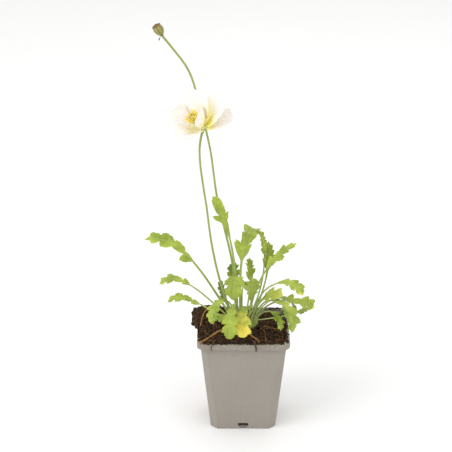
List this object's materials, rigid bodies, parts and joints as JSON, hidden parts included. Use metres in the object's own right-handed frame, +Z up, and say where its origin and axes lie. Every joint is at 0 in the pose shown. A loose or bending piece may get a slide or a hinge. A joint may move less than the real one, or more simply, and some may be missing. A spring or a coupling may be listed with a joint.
{
  "type": "potted iceland poppy",
  "caption": "Young poppy in a square nursery pot: a loose tuft of lobed green leaves, one open cream flower and a taller stem with a seed capsule, in dark potting soil.",
  "frame": {"origin": "centre of the pot's underside, on the plane it stands on", "axes": "+Z up along the pot, front of the pot towards -Y, +X to the right seen from the front"},
  "size_m": [0.1666, 0.0995, 0.3972],
  "materials": {
    "pot_plastic": "satin moulded polypropylene, warm grey",
    "soil": "dark crumbly peat compost, matt",
    "crown": "fibrous leaf bases, matt",
    "leaf_green": "soft matt leaf, light yellow-green",
    "leaf_yellowing": "matt leaf turning yellow",
    "stem": "thin hairy stem, matt",
    "petal": "thin crinkled petal, creamy white",
    "ovary": "pale green, matt",
    "stamens": "yellow pollen, matt",
    "seed_capsule": "dry olive green with a brown cap",
    "withered_stamen": "dry brown",
    "root": "dry orange-brown root",
    "twig": "dark brown bark"
  },
  "bodies": {
    "root": {"pot": "pot_plastic", "soil": "soil", "crown": "crown", "leaf_left_high": "leaf_green", "leaf_left_mid": "leaf_green", "leaf_left_low": "leaf_green", "leaf_front_left": "leaf_green", "leaf_front_hang": "leaf_green", "leaf_front_yellow": "leaf_yellowing", "leaf_front_right": "leaf_green", "leaf_centre_arch": "leaf_green", "leaf_left_back_small": "leaf_green", "leaf_centre_back": "leaf_green", "leaf_tall_left": "leaf_green", "leaf_tall_centre": "leaf_green", "leaf_tall_right_thin": "leaf_green", "leaf_tall_right": "leaf_green", "leaf_right_long": "leaf_green", "leaf_back_right_small": "leaf_green", "leaf_centre_right_up": "leaf_green", "leaf_right_yellow_tip": "leaf_yellowing", "leaf_right_pale": "leaf_yellowing", "leaf_right_outer": "leaf_green", "leaf_right_dark": "leaf_green", "leaf_right_low_thin": "leaf_green", "leaf_hook_small": "leaf_green", "leaf_low_right_narrow": "leaf_green", "leaf_front_small": "leaf_green", "leaf_low_left_small": "leaf_green", "leaf_low_right_dark": "leaf_green", "flower_stem": "stem", "capsule_stem": "stem", "petal_front": "petal", "petal_right": "petal", "petal_left": "petal", "petal_back_right": "petal", "petal_back": "petal", "petal_inner": "petal", "ovary": "ovary", "stamens": "stamens", "seed_capsule": "seed_capsule", "withered_stamen": "withered_stamen", "root_left": "root", "root_centre": "root", "root_thin": "root", "root_right": "root", "root_heap": "root", "twig_left": "twig", "twig_front": "twig"}
  },
  "joints": []
}
